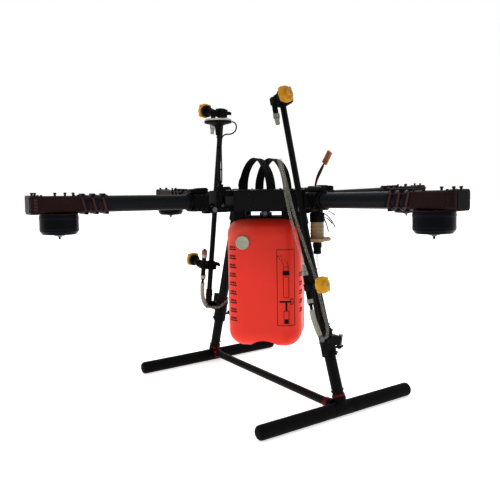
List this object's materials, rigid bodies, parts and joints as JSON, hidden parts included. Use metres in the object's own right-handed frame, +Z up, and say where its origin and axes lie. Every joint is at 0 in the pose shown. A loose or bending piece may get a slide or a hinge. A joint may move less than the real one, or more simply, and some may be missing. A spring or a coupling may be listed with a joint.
{
  "type": "agricultural spray drone",
  "caption": "Folding four-arm spray drone: square hub, tank slung under it, upright folding spray booms, landing skids, GPS mast, and motors without propellers.",
  "frame": {"origin": "on the ground, under the centre of the hub", "axes": "+Z up; +X and -X along the right and left arms; +Y along the front arm and the skids"},
  "size_m": [1.3538, 1.3538, 0.8484],
  "materials": {
    "carbon_plate": "satin",
    "black_aluminium": "anodised",
    "steel": "brushed",
    "carbon_tube": "satin",
    "tinted_aluminium": "anodised",
    "copper_winding": "enamelled",
    "motor_black": "anodised",
    "nylon_black": "moulded",
    "foam_black": "foam",
    "red_anodised": "anodised",
    "tank_red": "blow moulded",
    "cap_white": "moulded",
    "pump_cream": "moulded",
    "webbing_black": "woven",
    "yellow_plastic": "moulded",
    "clear_hose": "clear",
    "cable_black": "sheathed",
    "cable_red": "silicone",
    "connector_amber": "moulded",
    "circuit_green": "solder mask",
    "case_grey": "moulded"
  },
  "bodies": {
    "airframe": {"arm_root_brackets": "black_aluminium", "battery_connector": "connector_amber", "battery_lead_black": "cable_black", "battery_lead_red": "cable_red", "battery_straps": "webbing_black", "boom_bolts": "steel", "boom_brackets": "nylon_black", "clamp_collars": "red_anodised", "crossbar": "carbon_tube", "feed_hose": "clear_hose", "flight_controller": "case_grey", "fold_pins": "steel", "gps_base": "nylon_black", "hub_lower_plate": "carbon_plate", "hub_screws": "steel", "hub_side_panels": "carbon_plate", "hub_upper_plate": "carbon_plate", "leg_sockets": "nylon_black", "leg_tees": "nylon_black", "legs": "carbon_tube", "power_board": "circuit_green", "pump": "pump_cream", "skid_foam": "foam_black", "skid_tubes": "carbon_tube", "tank": "tank_red", "tank_hangers": "nylon_black", "tank_neck": "steel"},
    "arm_right": {"arm_tube_right": "carbon_tube", "arm_knuckle_right": "black_aluminium", "motor_mount_right": "tinted_aluminium", "motor_stator_right": "copper_winding"},
    "rotor_right": {"motor_rotor_right": "motor_black"},
    "arm_front": {"arm_tube_front": "carbon_tube", "arm_knuckle_front": "black_aluminium", "motor_mount_front": "tinted_aluminium", "motor_stator_front": "copper_winding"},
    "rotor_front": {"motor_rotor_front": "motor_black"},
    "arm_left": {"arm_tube_left": "carbon_tube", "arm_knuckle_left": "black_aluminium", "motor_mount_left": "tinted_aluminium", "motor_stator_left": "copper_winding"},
    "rotor_left": {"motor_rotor_left": "motor_black"},
    "arm_rear": {"arm_tube_rear": "carbon_tube", "arm_knuckle_rear": "black_aluminium", "motor_mount_rear": "tinted_aluminium", "motor_stator_rear": "copper_winding"},
    "rotor_rear": {"motor_rotor_rear": "motor_black"},
    "boom_left": {"boom_tube_left": "carbon_tube", "nozzle_bodies_left": "nylon_black", "nozzle_caps_left": "yellow_plastic", "boom_hose_left": "clear_hose"},
    "boom_right": {"boom_tube_right": "carbon_tube", "nozzle_bodies_right": "nylon_black", "nozzle_caps_right": "yellow_plastic", "long_hose_right": "clear_hose", "short_hose_right": "clear_hose"},
    "gps": {"gps_mast": "carbon_tube", "gps_puck": "cap_white", "gps_cable": "cable_black"},
    "filler_cap": {"tank_cap": "cap_white"}
  },
  "joints": [
    {"name": "arm_fold_right", "type": "hinge", "parent": "airframe", "child": "arm_right", "pos_m": [0.19, 0, 0.533], "axis": [0, 1, 0], "range_deg": [0, 40]},
    {"name": "rotor_spin_right", "type": "hinge", "parent": "arm_right", "child": "rotor_right", "pos_m": [0.60642, 0, 0.5114], "axis": [-0.0166, 0, 0.9999], "continuous": true},
    {"name": "arm_fold_front", "type": "hinge", "parent": "airframe", "child": "arm_front", "pos_m": [0, 0.19, 0.533], "axis": [-1, 0, 0], "range_deg": [0, 90]},
    {"name": "rotor_spin_front", "type": "hinge", "parent": "arm_front", "child": "rotor_front", "pos_m": [0, 0.60642, 0.5114], "axis": [0, -0.0166, 0.9999], "continuous": true},
    {"name": "arm_fold_left", "type": "hinge", "parent": "airframe", "child": "arm_left", "pos_m": [-0.19, 0, 0.533], "axis": [0, -1, 0], "range_deg": [0, 40]},
    {"name": "rotor_spin_left", "type": "hinge", "parent": "arm_left", "child": "rotor_left", "pos_m": [-0.60642, 0, 0.5114], "axis": [0.0166, 0, 0.9999], "continuous": true},
    {"name": "arm_fold_rear", "type": "hinge", "parent": "airframe", "child": "arm_rear", "pos_m": [0, -0.19, 0.533], "axis": [1, 0, 0], "range_deg": [0, 90]},
    {"name": "rotor_spin_rear", "type": "hinge", "parent": "arm_rear", "child": "rotor_rear", "pos_m": [0, -0.60642, 0.5114], "axis": [0, 0.0166, 0.9999], "continuous": true},
    {"name": "boom_fold_right", "type": "hinge", "parent": "airframe", "child": "boom_right", "pos_m": [0.295, -0.03, 0.2], "axis": [0, 0.9857, -0.1685], "range_deg": [0, 105]},
    {"name": "boom_fold_left", "type": "hinge", "parent": "airframe", "child": "boom_left", "pos_m": [-0.295, -0.03, 0.2], "axis": [0, -0.9857, 0.1685], "range_deg": [0, 105]},
    {"name": "gps_fold", "type": "hinge", "parent": "airframe", "child": "gps", "pos_m": [0, -0.157, 0.596], "axis": [1, 0, 0], "range_deg": [0, 75]},
    {"name": "filler_cap_turn", "type": "hinge", "parent": "airframe", "child": "filler_cap", "pos_m": [0.02793, -0.10288, 0.437], "axis": [0.7071, -0.7071, 0], "range_deg": [0, 360]}
  ]
}
